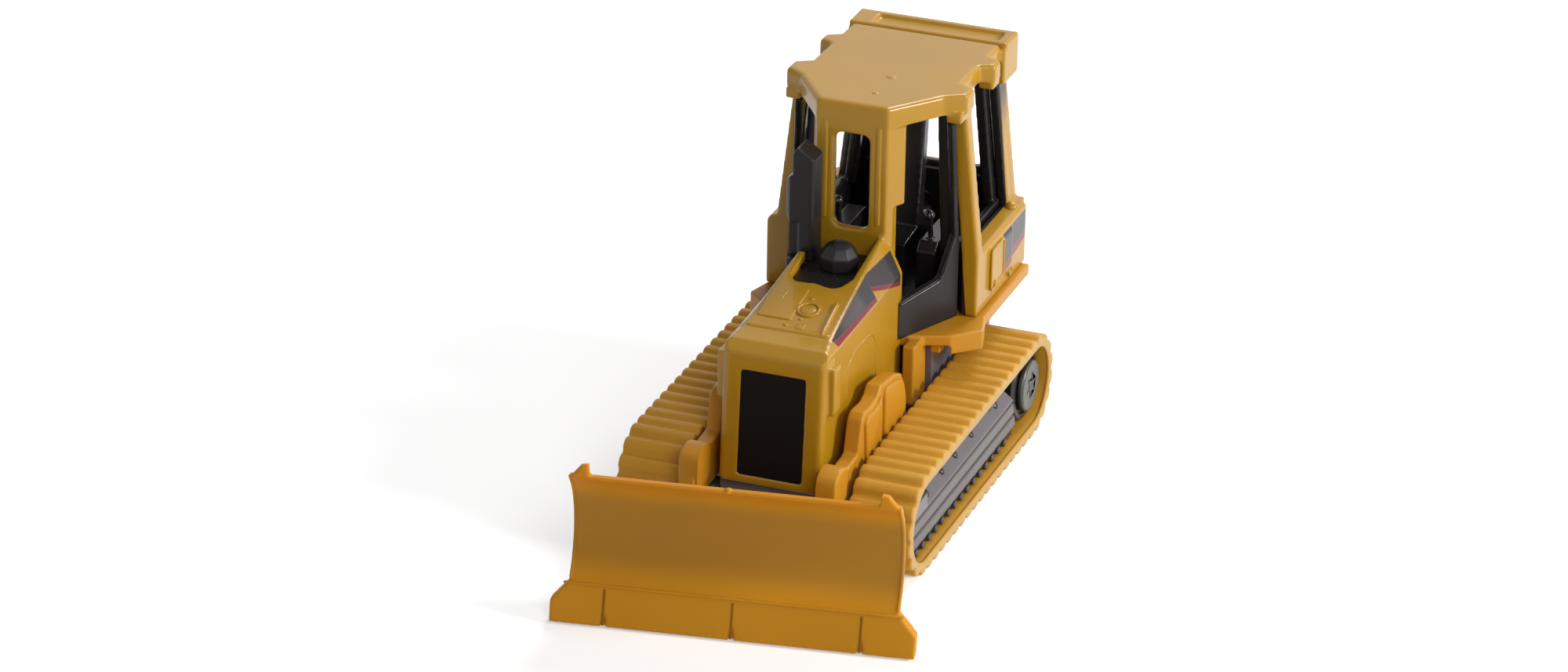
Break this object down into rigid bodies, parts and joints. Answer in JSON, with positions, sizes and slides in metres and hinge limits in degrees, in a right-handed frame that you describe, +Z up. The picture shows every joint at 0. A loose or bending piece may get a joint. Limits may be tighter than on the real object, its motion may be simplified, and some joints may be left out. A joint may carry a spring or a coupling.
{
  "type": "toy bulldozer",
  "caption": "Small die-cast style toy crawler bulldozer with a cab, a ribbed belt on each side and a curved blade that lifts and angles.",
  "frame": {"origin": "on the ground, at the middle of the whole outline seen from above", "axes": "+Z up; the blade and the nose face -Y; +X is the machine's left side"},
  "size_m": [0.0376, 0.0722, 0.0418],
  "materials": {
    "cast_body": "gloss",
    "black_trim": "matt",
    "dark_grey_trim": "satin",
    "cab_black": "gloss",
    "yellow_plastic": "satin",
    "steel": "bright",
    "belt_rubber": "satin",
    "grey_frame": "satin",
    "black_wheel": "gloss"
  },
  "bodies": {
    "chassis": {"body_casting": "cast_body", "grille_panel": "black_trim", "exhaust_stack": "dark_grey_trim", "air_precleaner": "dark_grey_trim", "cab_tub": "cab_black", "operator_seat": "cab_black", "dash_console": "cab_black", "left_armrest": "cab_black", "right_armrest": "cab_black", "platform_plate": "yellow_plastic", "chassis_base": "cast_body", "front_chassis_screw": "steel", "rear_chassis_screw": "steel", "front_axle": "steel", "rear_axle": "steel", "arm_pin_left": "steel", "arm_pin_right": "steel", "track_belt_left": "belt_rubber", "track_belt_right": "belt_rubber", "track_frame_left": "grey_frame", "track_frame_right": "grey_frame"},
    "lift_frame": {"push_frame": "yellow_plastic", "blade_pivot_pin": "steel"},
    "blade": {"blade": "yellow_plastic"},
    "drive_wheel_left": {"drive_wheel_left": "black_wheel"},
    "drive_wheel_right": {"drive_wheel_right": "black_wheel"},
    "idler_wheel_left": {"idler_wheel_left": "black_wheel"},
    "idler_wheel_right": {"idler_wheel_right": "black_wheel"}
  },
  "joints": [
    {"name": "blade_lift", "type": "hinge", "parent": "chassis", "child": "lift_frame", "pos_m": [-0.00269, 0.00396, 0.0074], "axis": [-1, 0, 0], "range_deg": [0, 18]},
    {"name": "blade_angle", "type": "hinge", "parent": "lift_frame", "child": "blade", "pos_m": [-0.00269, -0.02044, 0.0062], "axis": [0, 0, 1], "range_deg": [-34.5, 15.5]},
    {"name": "drive_roll_left", "type": "hinge", "parent": "chassis", "child": "drive_wheel_left", "pos_m": [0.00996, 0.02426, 0.0057], "axis": [1, 0, 0], "continuous": true},
    {"name": "drive_roll_right", "type": "hinge", "parent": "chassis", "child": "drive_wheel_right", "pos_m": [-0.01534, 0.02426, 0.0057], "axis": [1, 0, 0], "continuous": true},
    {"name": "idler_roll_left", "type": "hinge", "parent": "chassis", "child": "idler_wheel_left", "pos_m": [0.00856, -0.01084, 0.0057], "axis": [1, 0, 0], "continuous": true},
    {"name": "idler_roll_right", "type": "hinge", "parent": "chassis", "child": "idler_wheel_right", "pos_m": [-0.01394, -0.01084, 0.0057], "axis": [1, 0, 0], "continuous": true}
  ],
  "couplings": [
    {"joint": "idler_roll_left", "follows": "drive_roll_left", "ratio": 1},
    {"joint": "idler_roll_right", "follows": "drive_roll_right", "ratio": 1}
  ]
}
